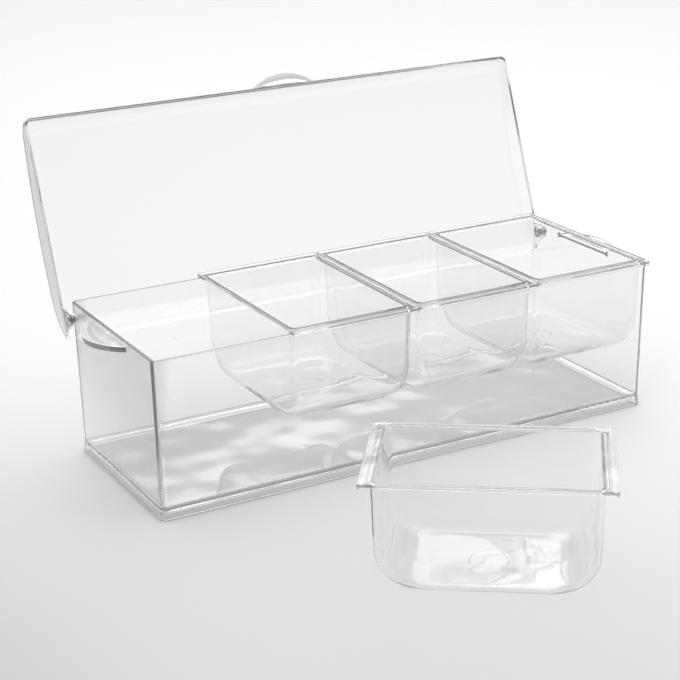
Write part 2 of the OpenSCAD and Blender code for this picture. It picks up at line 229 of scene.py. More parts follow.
class CaddyFinish(bpy.types.PropertyGroup):
    """Colour and surface of the clear plastic."""

    tray_tint: colour("Tray tint", "Colour that the surface of the tray gives to light", 0.98)
    lid_tint: colour("Lid tint", "Colour that the surface of the lid gives to light", 0.95)
    # The tab's greyer tint is painted shade: the same plastic as the lid, darkened so the tab's edges read
    # darker
    tab_tint: colour("Tab tint", "Colour that the surface of the tab gives to light", 0.7)
    bin_tint: colour("Bin tint", "Colour that the surface of the bins gives to light", 0.978)
    # The left end's grey is painted shade: the same plastic, greyed towards that end's rim and handle
    end_painted_shade: colour("End tint", "Colour that the left end wall gives to light at its rim", 0.8)
    end_shade_from: length("End tint from", "Distance out plus a tenth of the height where the tint starts", 0.197)
    end_shade_to: length("End tint to", "Distance out plus a tenth of the height where the tint is full", 0.207)
    depth_tint: colour("Depth tint", "Colour that light keeps on its way through the plastic", 0.7)
    density: amount("Density", "How strongly the plastic takes light, per metre", 7.0, 200.0)
    roughness: share("Roughness", "Roughness of the moulded surface", 0.015)
    ior: amount("Index of refraction", "Index of refraction of the plastic", 1.5, 3.0)
    trapped_after: amount("Trapped after", "Turns in the plastic after which light is let out", 13.5, 64.0)
    tray_trapped: share("Trapped in tray", "Share of trapped light that a face of the tray lets out", 0.78)
    lid_trapped: share("Trapped in lid", "Share of trapped light that a face of the lid lets out", 0.88)
    tab_trapped: share("Trapped in tab", "Share of trapped light that a face of the tab lets out", 0.3)
    bin_trapped: share("Trapped in bins", "Share of trapped light that a face of a bin lets out", 0.9)
    tray_shade: share("Tray shade", "Light that a face of the tray passes on to the floor", 0.84)
    foot_shade: share("Foot shade", "Light that a face of the tray's foot passes on to the floor", 0.3)
    foot_low: length("Foot shade from", "Height up to which the foot's shade is full", 0.003)
    foot_high: length("Foot shade to", "Height from which only the wall's shade is left", 0.0043)
    lid_shade: share("Lid shade", "Light that a face of the lid passes on to the floor", 0.98)
    tab_shade: share("Tab shade", "Light that a face of the tab passes on to the floor", 0.98)
    bin_shade: share("Bin shade", "Light that a face of a bin passes on to the floor", 0.99)
    tray_wave: amount("Tray wave", "Waves in a metre of the tray's faces", 20.0, 200.0)
    lid_wave: amount("Lid wave", "Waves in a metre of the lid's faces", 9.0, 200.0)
    bin_wave: amount("Bin wave", "Waves in a metre of a bin's faces", 26.0, 200.0)
    wave_height: length("Wave height", "Height of the waves in the tray's and bins' faces", 0.0007)
    lid_wave_height: length("Lid wave height", "Height of the waves in the lid's faces", 0.0005)
    scuffing: share("Scuffing", "Roughness that scuffs add to the tray and bins", 0.02)
    lid_scuffing: share("Lid scuffing", "Roughness that scuffs add to the lid", 0.015)


class CaddyStage(bpy.types.PropertyGroup):
    """Camera, floor and light."""

    camera_place: position("Camera place", "Where the camera stands", (-0.60479, -1.06833, 0.51366))
    camera_yaw: angle("Camera yaw", "Turn of the view from the hinge side towards the right", 28.598)
    camera_pitch: angle("Camera pitch", "How far the view looks down", 19.923)
    camera_roll: angle("Camera roll", "Roll of the view", -1.207)
    lens: amount("Lens", "Focal length in millimetres on a sensor 36 mm wide", 93.87, 500.0)
    floor_radius: length("Floor radius", "Radius of the floor", 30.0)
    # The floor's darker front and left are painted shade, not the floor's own colour
    floor_near_shade: share("Floor near", "Brightness of the floor in front, against 1 behind", 0.76)
    floor_corner_shade: share("Floor corner", "Share of its brightness that the floor keeps on the left", 0.90)
    floor_side_shade: share("Floor side", "Share of its brightness that the floor keeps far on the left", 0.95)
    floor_mirrored_shade: share("Floor mirrored", "Share that the floor on the left keeps in reflections", 0.35)
    floor_roughness: share("Floor roughness", "Roughness of the floor", 0.6)
    floor_gloss: share("Floor gloss", "Specular level of the floor", 0.25)
    sky: amount("Sky", "Strength of the light that falls on matt surfaces", 1.05, 10.0)
    wall: amount("Wall", "Brightness of the wall behind, in reflections", 1.05, 10.0)
    room: amount("Room", "Brightness of the room on the camera's side, in reflections", 0.40, 10.0)
    softbox: amount("Softbox", "Brightness that the lamp overhead adds in reflections", 2.4, 20.0)
    key_power: FloatProperty(
        name="Key light", description="Power of the large lamp above", default=8.0, min=0.0, unit="POWER"
    )
    key_size: length("Key size", "Side of the large lamp above", 1.6)
    key_place: position("Key place", "Where the large lamp above hangs", (0.5, 0.6, 1.9))
    light_turns: IntProperty(
        name="Light turns", description="Turns that light may take in the plastic", default=28, min=0, max=64
    )
    clear_turns: IntProperty(
        name="Clear turns", description="Clear faces that light may pass", default=64, min=0, max=256
    )


# ---- Meshes ----


def rounded_path(corners, steps=5):
    """An open path through (x, y, radius) corners, each but the first and last cut by an arc of its radius.

    At a corner P with unit directions u to the point before and v to the point after, and half angle h
    between them, the arc's centre is P + (u + v) / |u + v| * radius / sin h, and it touches both sides at
    radius / tan h.
    """
    points = np.array([corner[:2] for corner in corners], float)
    path = [points[:1]]
    for before, here, after, corner in zip(points[:-2], points[1:-1], points[2:], corners[1:-1]):
        radius = corner[2]
        u = (before - here) / np.linalg.norm(before - here)
        v = (after - here) / np.linalg.norm(after - here)
        if radius <= 0 or abs(u @ v + 1) < 1e-9:
            path.append(here[None])
            continue
        half = math.acos(np.clip(u @ v, -1, 1)) / 2
        middle = here + (u + v) / np.linalg.norm(u + v) * radius / math.sin(half)
        first = here + u * radius / math.tan(half) - middle
        last = here + v * radius / math.tan(half) - middle
        t = np.linspace(0, 1, steps + 1)[:, None]
        span = math.acos(np.clip(first @ last / radius**2, -1, 1))
        path.append(middle + (np.sin((1 - t) * span) * first + np.sin(t * span) * last) / math.sin(span))
    path.append(points[-1:])
    return np.vstack(path)


def outline_angles():
    """Angles of the points round a rounded rectangle, the signs of each point's corner, and its slide.

    The slide is -1 or 1 for the first and last point of a corner, which stand on the straights beside it, so
    that the shading of the flats stays flat, and 0 for the others.
    """
    part = np.concatenate(([0.0], np.linspace(0, 1, CORNER_STEPS + 1), [1.0]))
    slide = np.zeros(len(part))
    slide[0] = -1.0
    slide[-1] = 1.0
    angles = ((np.arange(4)[:, None] + part[None]) * math.pi / 2).ravel()
    sign_x = np.repeat(np.array([1.0, -1.0, -1.0, 1.0]), len(part))
    sign_y = np.repeat(np.array([1.0, 1.0, -1.0, -1.0]), len(part))
    return angles, sign_x, sign_y, np.tile(slide, 4)


def rounded_rings(half_x, half_y, radius, z):
    """Rounded rectangles, one a row: corner centre + radius * (cos a, sin a), at height z.

    half_x, half_y, radius and z hold a number for each row.
    """
    angles, sign_x, sign_y, slide = outline_angles()
    half_x, half_y, radius, z = (np.asarray(v, float)[:, None] for v in (half_x, half_y, radius, z))
    straight_x = half_x - radius
    straight_y = half_y - radius
    slide_x = np.minimum(CORNER_SLIDE, straight_x / 2) * slide
    slide_y = np.minimum(CORNER_SLIDE, straight_y / 2) * slide
    x = sign_x * straight_x + radius * np.cos(angles) - slide_x * np.sin(angles)
    y = sign_y * straight_y + radius * np.sin(angles) + slide_y * np.cos(angles)
    return np.stack((x, y, np.broadcast_to(z, x.shape)), axis=2)


def split_ends(rings):
    """The same rounded rectangles with each side along Y cut into parts, by points A + (B - A) * t."""
    quarter = rings.shape[1] // 4
    t = np.arange(1, END_PARTS)[:, None] / END_PARTS
    left = rings[:, 2 * quarter - 1, None] * (1 - t) + rings[:, 2 * quarter, None] * t
    right = rings[:, -1, None] * (1 - t) + rings[:, 0, None] * t
    return np.concatenate((rings[:, :2 * quarter], left, rings[:, 2 * quarter:], right), axis=1)


def circle_rings(radius, z):
    """Level circles with as many points as rounded_rings gives, at matching angles."""
    angles = outline_angles()[0]
    radius, z = (np.asarray(v, float)[:, None] for v in (radius, z))
    x = radius * np.cos(angles)
    return np.stack((x, radius * np.sin(angles), np.broadcast_to(z, x.shape)), axis=2)


def skin_faces(rows, columns, closed):
    """Quads of a grid that wraps round its columns.

    If closed, it wraps round its rows too, and otherwise each end has a cap.
    """
    k = np.arange(rows if closed else rows - 1)[:, None]
    i = np.arange(columns)[None]
    j = (i + 1) % columns
    above = (k + 1) % rows
    quads = np.stack((k * columns + i, k * columns + j, above * columns + j, above * columns + i), axis=2)
    faces = quads.reshape(-1, 4).tolist()
    if not closed:
        faces.append(list(range(columns - 1, -1, -1)))
        faces.append([(rows - 1) * columns + n for n in range(columns)])
    return faces


def merged(points, faces, near=1e-7):
    """The same surface with points that lie together made one, and faces that shrink to a line left out."""
    keys = np.round(points / near).astype(np.int64)
    first, back = np.unique(keys, axis=0, return_index=True, return_inverse=True)[1:]
    kept = []
    for face in faces:
        corners = list(dict.fromkeys(back[np.array(face)].ravel().tolist()))
        if len(corners) > 2:
            kept.append(corners)
    return points[first], kept


def add_object(name, data):
    """A new object with the given data, in the scene."""
    made = bpy.data.objects.new(name, data)
    bpy.context.scene.collection.objects.link(made)
    return made


def add_piece(name, points, faces, body, material, inside_out=False):
    """A smooth mesh object at the origin, with its place in its points, that rides on a body of the frame."""
    points, faces = merged(points, faces)
    if inside_out:
        faces = [face[::-1] for face in faces]
    mesh = bpy.data.meshes.new(name)
    mesh.from_pydata(points.tolist(), [], faces)
    mesh.validate()
    mesh.polygons.foreach_set("use_smooth", np.ones(len(mesh.polygons), bool))
    mesh.materials.append(material)
    piece = add_object(name, mesh)
    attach(piece, body)
    return piece


def add_skin(name, grid, body, material, closed=False, inside_out=False):
    """A piece from a grid of points, rows by columns by three."""
    rows, columns = grid.shape[:2]
    return add_piece(name, grid.reshape(-1, 3), skin_faces(rows, columns, closed), body, material, inside_out)


def smooth_step(low, high, value):
    """0 below low, 1 above high and t * t * (3 - 2 t) between."""
    t = np.clip((value - low) / (high - low), 0, 1)
    return t * t * (3 - 2 * t)


# ---- Tray ----


def tray_grid(size):
    """Rings of the tray: its section as (outset from the base's outline, height), carried round that outline.

    The section runs from under the floor down the foot ring, up the outside, over the rim and down inside.
    """
    lean = size.draft / (size.height - size.foot_height)
    rim_out, rim_in = size.draft, size.draft - size.wall
    ring_in = size.foot_proud - size.foot_ring
    under = size.foot_height - size.floor
    small = size.rim_round
    support = 2 * small
    section = rounded_path(
        [
            (ring_in - support, under, 0),
            (ring_in, under, small / 2),
            (ring_in, 0, small / 3),
            (size.foot_proud, 0, small * 0.9),
            (size.foot_proud, size.foot_height - size.foot_proud, small / 2),
            (0, size.foot_height, small / 3),
            (lean * support, size.foot_height + support, 0),
            (rim_out - lean * support, size.height - support, 0),
            (rim_out, size.height, small),
            (rim_in, size.height, small),
            (rim_in - lean * support, size.height - support, 0),
            (lean * size.floor_fillet - size.wall, size.foot_height + 2 * size.floor_fillet, 0),
            (-size.wall, size.foot_height, size.floor_fillet),
            (-size.wall - 2 * size.floor_fillet, size.foot_height, 0),
        ],
        steps=6,
    )
    outset, z = section[:, 0], section[:, 1]
    rise = np.clip(z - size.foot_height, 0, None) * lean
    half_x = size.rim_length / 2 - size.draft + outset
    half_y = size.rim_width / 2 - size.draft + outset
    radius = np.maximum(size.corner + outset - rise, size.rim_round)
    return rounded_rings(half_x, half_y, radius, z)


def crescent_grid(chord, reach, section, steps=64):
    """A crescent on the line x = 0 that bulges to +x, with its section carried along its round edge.

    Point (u, v): u runs along the chord from -1 to 1, and the edge is the arc through both chord ends at
    the given reach. The section gives (distance in from the edge, height); the distance is measured towards
    the chord and stops there, so the crescent thins out to its two ends.
    """
    ring = (chord**2 / 4 + reach**2) / (2 * reach)
    u = np.sin(np.linspace(-math.pi / 2, math.pi / 2, steps + 1))
    y = u * chord / 2
    edge = np.sqrt(np.maximum(ring**2 - y**2, 0)) + reach - ring
    slope = y / ring
    inward, height = section[:, 0][None], section[:, 1][None]
    x = edge[:, None] - inward * np.sqrt(1 - slope[:, None] ** 2)
    along = y[:, None] - inward * slope[:, None]
    along = np.where(inward >= reach, y[:, None], along)
    return np.stack((np.maximum(x, 0), along, np.broadcast_to(height, x.shape)), axis=2)


def crescent_section(reach, web, bead, bead_height, web_low, edge):
    """Section of a crescent plate, as (distance in from the edge, height): a web out to a taller bead.

    The bead's outer corners have the given radius; its inner ones take a third of the step to the web.
    """
    far = 1.2 * reach
    web_high = web_low + web
    above = min(edge, (bead_height - web_high) / 3)
    below = min(edge, web_low / 3)
    return rounded_path(
        [
            (far, web_high, 0),
            (bead, web_high, above),
            (bead, bead_height, above),
            (0, bead_height, edge),
            (0, 0, edge),
            (bead, 0, below),
            (bead, web_low, below),
            (far, web_low, 0),
        ],
        steps=4,
    )


def handle_grid(size):
    """A handle at the right end: a crescent plate under a lip, level, with its chord on the end wall."""
    lip_height = size.handle_lip_height
    web_low = (lip_height - size.handle_web) / 2
    section = crescent_section(
        size.handle_reach, size.handle_web, size.handle_lip, lip_height, web_low, size.rim_round / 3
    )
    grid = crescent_grid(size.handle_chord, size.handle_reach, section)
    top = size.height - size.handle_drop
    grid += (TRAY_HIGH.x - size.handle_reach, size.handle_shift, top - lip_height)
    return grid


def turned_grid(path, steps=48):
    """A path of (x, radius) turned about the X axis: a point is (x, radius * cos a, radius * sin a)."""
    a = np.linspace(0, 2 * math.pi, steps, endpoint=False)
    x, r = path[:, 0][:, None], path[:, 1][:, None]
    return np.stack((np.broadcast_to(x, (len(path), steps)), r * np.cos(a), r * np.sin(a)), axis=2)


def stud_grid(size):
    """A stud at the right end: a boss and the stud that the ear turns on, turned about the hinge axis."""
    edge = size.rim_round / 3
    tip = edge / 10
    path = rounded_path(
        [
            (-edge, tip, 0),
            (-edge, size.boss / 2, 0),
            (size.boss_reach, size.boss / 2, edge),
            (size.boss_reach, size.stud / 2, edge),
            (size.stud_reach, size.stud / 2, edge),
            (size.stud_reach, tip, 0),
        ]
    )
    grid = turned_grid(path)
    grid += (size.rim_length / 2, HINGE["pos_m"][1], HINGE["pos_m"][2])
    return grid


# ---- Lid ----


def lid_height(size, wall, y, drop):
    """Height of the lid's skin at y, for a skin that lies wall + drop inside the outer one.

    The skin is three arcs that run into each other, centre z + sqrt(radius ** 2 - (y - centre y) ** 2), with
    each radius less by wall + drop. The dome ends where the front and rear arcs touch it.
    """
    inset = wall + drop
    crown_z = size.top - size.crown_round
    front_y = size.front_round - size.half_width
    front_swing = size.crown_round - size.front_round
    front_z = crown_z + math.sqrt(front_swing**2 - (front_y - size.crown_shift) ** 2)
    front_sine = (size.crown_shift - front_y) / front_swing
    rear_swing = size.crown_round - size.rear_round
    rear_y = size.crown_shift + rear_swing * math.sin(size.rear_turn)
    rear_z = crown_z + rear_swing * math.cos(size.rear_turn)

    def disc(centre_y, centre_z, radius):
        return centre_z + np.sqrt(np.clip((radius - inset) ** 2 - (y - centre_y) ** 2, 0, None))

    at_front = y < front_y - (size.front_round - inset) * front_sine
    at_rear = y > rear_y + (size.rear_round - inset) * math.sin(size.rear_turn)
    z = disc(size.crown_shift, crown_z, size.crown_round)
    z = np.where(at_front, disc(front_y, front_z, size.front_round), z)
    return np.where(at_rear, disc(rear_y, rear_z, size.rear_round), z)


def lid_rings(size, wall, front_steps=18, top_steps=14):
    """Rings of the closed lid's skin that lies wall inside its outer one, from the free edge up to the dome.

    A ring lies inside the plan outline, at the height of the arcs there. At s from the ends, where s is less
    than the end round r, the arcs are r - sqrt(r * r - (r - s) * (r - s)) lower. The first rings climb the
    outline from the free edge.
    """
    rim = size.end_round - wall
    rear_swing = size.crown_round - size.rear_round
    rear = size.crown_shift + rear_swing * math.sin(size.rear_turn)
    rear += (size.rear_round - wall) * math.sin(size.rear_end)
    front = size.half_width - wall - size.edge_round / 6
    half_x, half_y = size.half_length - wall, (rear + front) / 2
    turn = np.linspace(0, math.pi / 2, front_steps + 1)
    near = size.front_round * (1 - np.cos(turn))
    far = np.linspace(size.front_round, half_y - size.edge_round, top_steps + 1)[1:]
    inset = np.concatenate((near, far))
    corner = np.maximum(size.plan_round - wall - inset, size.edge_round)
    rings = rounded_rings(half_x - inset, half_y - inset, corner, np.zeros(len(inset)))
    rings = split_ends(rings)
    rings[..., 1] += (rear - front) / 2
    past = np.clip(np.abs(rings[..., 0]) - (half_x - rim), 0, rim)
    rings[..., 2] = lid_height(size, wall, rings[..., 1], rim - np.sqrt(rim**2 - past**2))
    open_rear = smooth_step(half_x, half_x - size.plan_round, np.abs(rings[0, :, 0])) * (rings[0, :, 1] > 0)
    low = size.edge + (rings[0, :, 2] - size.edge) * open_rear + size.edge_round
    rings[..., 2] = np.maximum(rings[..., 2], low)
    climb = np.repeat(rings[:1], len(EDGE_CLIMB), axis=0)
    climb[..., 2] = low + np.array(EDGE_CLIMB)[:, None] * (rings[0, :, 2] - low)
    return np.concatenate((climb, rings))


def free_edge(inner, outer, size):
    """Rows across the free edge, from the inner skin's first row to the outer's, rounded at both corners.

    A row at t of the wall hangs down by e * sqrt(1 - c * c), where e is the edge round and c falls from 1 at
    either corner to 0 at e from it.
    """
    t = np.array(EDGE_ROWS)[:, None, None]
    near = np.clip(1 - np.minimum(t, 1 - t) * size.wall / size.edge_round, 0, 1)
    hang = size.edge_round * np.sqrt(1 - near**2)
    return inner + (outer - inner) * t - hang * (0, 0, 1)


def opened(grid):
    """The closed lid turned about the hinge to where it stands at rest, by the joint's range."""
    pivot = Vector(HINGE["pos_m"])
    turn = Matrix.Rotation(math.radians(HINGE["range_deg"][0]), 4, "X")
    whole = np.array(Matrix.Translation(pivot) @ turn @ Matrix.Translation(-pivot))
    return grid @ whole[:3, :3].T + whole[:3, 3]


def lid_grid(size):
    """Rings of the whole lid: the ceiling's edge, down inside, across the free edge and up the outside."""
    inside = lid_rings(size, size.wall)[::-1]
    outside = lid_rings(size, 0.0)
    edge = free_edge(inside[-1], outside[0], size)
    return opened(np.concatenate((inside, edge, outside)))


def ear_grid(size, steps=96):
    """An ear at the right end: an outline in Y and Z round a bore, carried across the ear's thickness.

    Point (a, v): a is the angle round the hinge axis and v runs round the section between the bore and the
    outline. The outline is a circle below the axis, and above it widens to meet the cheek's free edge.
    """
    a = np.linspace(0, 2 * math.pi, steps, endpoint=False)
    top = size.edge - HINGE["pos_m"][2] + size.edge_round
    tiny = 1e-9
    cross = np.abs(np.cos(a)) * top - np.sin(a) * size.ear_spread
    to_side = np.where(cross > tiny, size.ear * top / np.maximum(cross, tiny), 1.0)
    to_top = np.where(np.sin(a) > tiny, top / np.maximum(np.sin(a), tiny), 1.0)
    reach = np.where(np.sin(a) > 0, np.minimum(to_side, to_top), size.ear)
    bore = size.ear_bore / 2
    radius = bore + (reach[:, None] - bore) * np.array(EAR_OUT)
    x = np.broadcast_to(size.half_length - size.wall * (1 - np.array(EAR_ACROSS)), radius.shape)
    y = HINGE["pos_m"][1] + radius * np.cos(a)[:, None]
    z = HINGE["pos_m"][2] + radius * np.sin(a)[:, None]
    return opened(np.stack((x, y, z), axis=2))


def tab_grid(size):
    """The finger tab: a crescent with a bead round it, on the front's free edge."""
    overlap = size.wall / 4
    reach = size.tab_reach + overlap
    section = crescent_section(
        reach, size.tab_web, size.tab_bead, size.tab_bead_height, size.tab_recess, size.tab_round
    )
    grid = crescent_grid(size.tab_chord, reach, section)
    x = size.tab_shift + grid[..., 1]
    y = -size.half_width + overlap - grid[..., 0]
    z = size.edge + grid[..., 2]
    return opened(np.stack((x, y, z), axis=2))


# ---- Bins ----


def bin_wall_rows(size, inset, floor, steps=16):
    """Rows (half width, half length, corner radius, height) of a bin's wall, from its floor up to its rim.

    The floor meets each wall in a quarter arc: at a height h above the floor a wall of radius R draws in by
    R - sqrt(R * R - (R - h) * (R - h)), and the whole wall leans in towards the base by the draft.
    """
    end_round, side_round = size.end_round - inset, size.side_round - inset
    turn = np.linspace(0, math.pi / 2, steps + 1)
    past_round = end_round * 1.06
    under_rim = size.height - size.rim * 1.6 - floor
    up = np.concatenate((end_round * (1 - np.cos(turn)), [past_round, under_rim]))
    z = floor + up

    def draw_in(radius):
        left = np.clip(radius - up, 0, radius)
        return radius - np.sqrt(radius**2 - left**2)

    lean = size.draft * (1 - z / size.height)
    half_x = size.half_width - inset - lean - draw_in(side_round)
    half_y = size.half_length - inset - lean - draw_in(end_round)
    corner = size.corner - inset + size.corner * np.clip(1 - up / end_round, 0, None)
    return np.column_stack((half_x, half_y, corner, z))


def bin_rim_rows(size):
    """Rows of a bin's rim: from the outer wall out under the rim, round its turned edge and back over it.

    Each is (half width, half length, corner radius, height). The section is worked out at a short end and
    is given as (distance in from the rim's edge, height).
    """
    low = size.height - size.rim
    edge = size.rim_round
    section = rounded_path(
        [
            (size.lip_wall + 2 * edge, low, 0),
            (size.lip_wall, low, edge / 2),
            (size.lip_wall, low - size.lip, edge / 3),
            (0, low - size.lip, edge),
            (0, size.height, edge),
            (2 * edge, size.height, 0),
        ],
        steps=4,
    )
    inward, z = section[:, 0], section[:, 1]
    corner = np.maximum(size.rim_corner - inward, edge)
    return np.column_stack((size.rim_half_width - inward, size.rim_half_length - inward, corner, z))


def bin_top_rows(size, steps=4):
    """Rows over the inner edge of a bin's rim: the flat, then a quarter arc into the inner wall."""
    edge = size.rim_round
    support = 2.5 * edge
    turn = np.linspace(0, math.pi / 2, steps + 1)
    outset = np.concatenate(([support], edge * (1 - np.sin(turn)), [0])) - size.wall
    z = size.height - np.concatenate(([0], edge * (1 - np.cos(turn)), [support]))
    return np.column_stack((size.half_width + outset, size.half_length + outset, size.corner + outset, z))


def bin_grid(size):
    """Rings of a whole bin on its own base, from under its middle round to the middle of its floor.

    The rows under the rim's turned edge are drawn up along the long sides, where the rim has only a bead:
    z = low + (z - low) * k, with k falling from 1 round a short end to a small share along a side.
    """
    low = size.height - size.rim
    outer = bin_wall_rows(size, 0.0, 0.0)
    under = np.array([[size.half_width, size.half_length, size.corner, low]])
    rim = bin_rim_rows(size)
    top = bin_top_rows(size)
    inner = bin_wall_rows(size, size.wall, size.floor)[::-1]
    rows = np.vstack((outer, under, rim, top, inner))
    grid = rounded_rings(rows[:, 0], rows[:, 1], rows[:, 2], rows[:, 3])
    angles = outline_angles()[0]
    off_end = np.degrees(np.arctan2(np.abs(np.cos(angles)), np.abs(np.sin(angles))))
    keep = 1 - (1 - size.rim_bead) * smooth_step(*BEAD_FADE, off_end)
    first = len(outer) + 1
    hanging = grid[first:first + len(rim), :, 2]
    hanging[:] = np.where(hanging < low, low + (hanging - low) * keep, hanging)
    mark = size.gate / 2
    depth = size.gate_depth
    under_mark = circle_rings((mark - depth, mark - depth / 2, mark, mark + depth), (depth, depth, 0, 0))
    return np.concatenate((under_mark, grid))


# ---- Materials ----


def new_group(name, inputs, outputs):
    """An empty shader node group with the given sockets, and its input and output nodes."""
    group = bpy.data.node_groups.new(name, "ShaderNodeTree")
    for label, kind, default in inputs:
        socket = group.interface.new_socket(label, in_out="INPUT", socket_type=kind)
        if default is not None:
            socket.default_value = default
    for label, kind in outputs:
        group.interface.new_socket(label, in_out="OUTPUT", socket_type=kind)
    return group, group.nodes.new("NodeGroupInput"), group.nodes.new("NodeGroupOutput")


def new_material(name):
    """A new material, its node tree, its main shader and its output node."""
    material = bpy.data.materials.new(name)
    material.use_nodes = True
    tree = material.node_tree
    return material, tree, tree.nodes["Principled BSDF"], tree.nodes["Material Output"]


def feed(tree, made, values):
    """Links each socket given to a node's input of that name or number, and sets the input otherwise."""
    for key, value in values.items():
        if isinstance(value, bpy.types.NodeSocket):
            tree.links.new(value, made.inputs[key])
        else:
            made.inputs[key].default_value = value


def node(tree, kind, values=None, **settings):
    """A new node with its settings made and its inputs fed."""
    made = tree.nodes.new(kind)
    for key, setting in settings.items():
        setattr(made, key, setting)
    feed(tree, made, values or {})
    return made


def combined(tree, operation, *values):
    """The value that a Math node works out from sockets and numbers."""
    return node(tree, "ShaderNodeMath", dict(enumerate(values)), operation=operation).outputs[0]


def mixed(tree, factor, first, second):
    """A node that goes from one node's shader to another's as a factor goes from 0 to 1."""
    return node(tree, "ShaderNodeMixShader", {0: factor, 1: first.outputs[0], 2: second.outputs[0]})


def see_through(tree, grey, **settings):
    """A node that lets light straight through, dimmed to a share of it."""
    return node(tree, "ShaderNodeBsdfTransparent", {"Color": (grey, grey, grey, 1)}, **settings)


def faded(tree, direction, start, end, low, high, coordinates="Object"):
    """A value that goes from low to high as the dot product with a direction goes from start to end."""
    here = node(tree, "ShaderNodeTexCoord").outputs[coordinates]
    along = node(tree, "ShaderNodeVectorMath", {0: here, 1: direction}, operation="DOT_PRODUCT")
    values = {"Value": along.outputs["Value"]}
    values |= {"From Min": start, "From Max": end, "To Min": low, "To Max": high}
    return node(tree, "ShaderNodeMapRange", values, interpolation_type="SMOOTHSTEP").outputs["Result"]


def moulded_surface_group():
    """Slow waves of a moulded face and fine scuffs from use, as a height and a roughness over the surface."""
    group, source, result = new_group(
        "moulded_surface",
        [
            ("Vector", "NodeSocketVector", None),
            ("Wave size", "NodeSocketFloat", 18.0),
            ("Scuff size", "NodeSocketFloat", 260.0),
            ("Roughness", "NodeSocketFloat", 0.015),
            ("Scuffing", "NodeSocketFloat", 0.02),
        ],
        [("Height", "NodeSocketFloat"), ("Roughness", "NodeSocketFloat")],
    )
    given = source.outputs
    noise = {"Vector": given["Vector"], "Scale": given["Wave size"], "Detail": 1.0}
    waves = node(group, "ShaderNodeTexNoise", noise).outputs["Fac"]
    noise = {"Vector": given["Vector"], "Scale": given["Scuff size"], "Detail": 4.0}
    scuffs = node(group, "ShaderNodeTexNoise", noise).outputs["Fac"]
    values = {"Value": scuffs, "From Min": SCUFFED[0], "From Max": SCUFFED[1]}
    mask = node(group, "ShaderNodeMapRange", values).outputs["Result"]
    worn = combined(group, "MULTIPLY_ADD", mask, given["Scuffing"], given["Roughness"])
    feed(group, result, {"Height": waves, "Roughness": worn})


def clear_plastic(part, finish, waves, wave_height, scuffing):
    """Clear moulded plastic: glass-like, with a faint grey depth, uneven moulded faces and fine scuffs.

    Light bound for the floor passes straight through it, a little dimmed at each face. Light that has turned
    too often inside it is let out, so that the edges don't go black.
    """
    material, tree, plastic, out = new_material(f"{part}_plastic")
    here = node(tree, "ShaderNodeTexCoord").outputs["Object"]
    values = {"Vector": here, "Wave size": waves, "Roughness": finish.roughness, "Scuffing": scuffing}
    moulded = bpy.data.node_groups["moulded_surface"]
    surface = node(tree, "ShaderNodeGroup", values, node_tree=moulded).outputs
    values = {"Height": surface["Height"], "Strength": 1.0, "Distance": wave_height}
    bump = node(tree, "ShaderNodeBump", values)
    values = {
        "Base Color": (*getattr(finish, f"{part}_tint"), 1),
        "Transmission Weight": 1.0,
        "IOR": finish.ior,
        "Roughness": surface["Roughness"],
        "Normal": bump.outputs["Normal"],
    }
    feed(tree, plastic, values)
    path = node(tree, "ShaderNodeLightPath").outputs
    to_floor = combined(tree, "MAXIMUM", path["Is Shadow Ray"], path["Is Diffuse Ray"])
    passed_on = see_through(tree, getattr(finish, f"{part}_shade"), name="passed_on")
    lit = mixed(tree, to_floor, plastic, passed_on)
    late = combined(tree, "GREATER_THAN", path["Ray Depth"], finish.trapped_after)
    freed = see_through(tree, getattr(finish, f"{part}_trapped"))
    values = {"Color": (*finish.depth_tint, 1), "Density": finish.density}
    depth = node(tree, "ShaderNodeVolumeAbsorption", values)
    feed(tree, out, {"Surface": mixed(tree, late, lit, freed).outputs[0], "Volume": depth.outputs[0]})
    return material


def shade_tray(material, finish):
    """Lets the tray's foot shade the floor more than its walls do, and paints shade on its left end as a greyer
    tint.

    The painted shade is full at the rim and on the handle, and fades to nothing at the foot.
    """
    tree = material.node_tree
    foot = faded(tree, FOOT_WAY, finish.foot_low, finish.foot_high, finish.foot_shade, finish.tray_shade)
    feed(tree, tree.nodes["passed_on"], {"Color": foot})
    # The tray's own tint, mixed towards the painted shade of its left end
    tint = node(tree, "ShaderNodeMix", data_type="RGBA")
    socket = {one.identifier: one for one in (*tint.inputs, *tint.outputs)}
    socket["A_Color"].default_value = (*finish.tray_tint, 1)
    socket["B_Color"].default_value = (*finish.end_painted_shade, 1)
    end = faded(tree, END_SHADE_WAY, finish.end_shade_from, finish.end_shade_to, 0.0, 1.0)
    tree.links.new(end, socket["Factor_Float"])
    feed(tree, tree.nodes["Principled BSDF"], {"Base Color": socket["Result_Color"]})


def floor_material(stage):
    """A pale matt floor with painted shade: white behind, darker in front, darker still on the left, and clear
    from below.

    On the far left it also has painted shade in reflections only, so that the plastic's edges there show.
    """
    material, tree, matt, out = new_material("studio_floor")
    fades = {FLOOR_DEPTH_SHADE: stage.floor_near_shade, FLOOR_CORNER_SHADE: stage.floor_corner_shade, FLOOR_SIDE_SHADE: stage.floor_side_shade}
    shade = 1.0
    for way, least in fades.items():
        shade = combined(tree, "MULTIPLY", shade, faded(tree, *way, least, 1.0))
    glossy = node(tree, "ShaderNodeLightPath").outputs["Is Glossy Ray"]
    values = {"Factor": glossy, "A": 1.0, "B": faded(tree, *FLOOR_MIRROR_SHADE, stage.floor_mirrored_shade, 1.0)}
    mirrored = node(tree, "ShaderNodeMix", values, data_type="FLOAT").outputs["Result"]
    values = {
        "Base Color": combined(tree, "MULTIPLY", shade, mirrored),
        "Roughness": stage.floor_roughness,
        "Specular IOR Level": stage.floor_gloss,
    }
    feed(tree, matt, values)
    below = node(tree, "ShaderNodeNewGeometry").outputs["Backfacing"]
    feed(tree, out, {"Surface": mixed(tree, below, matt, see_through(tree, 1.0)).outputs[0]})
    return material


# ---- Stage ----


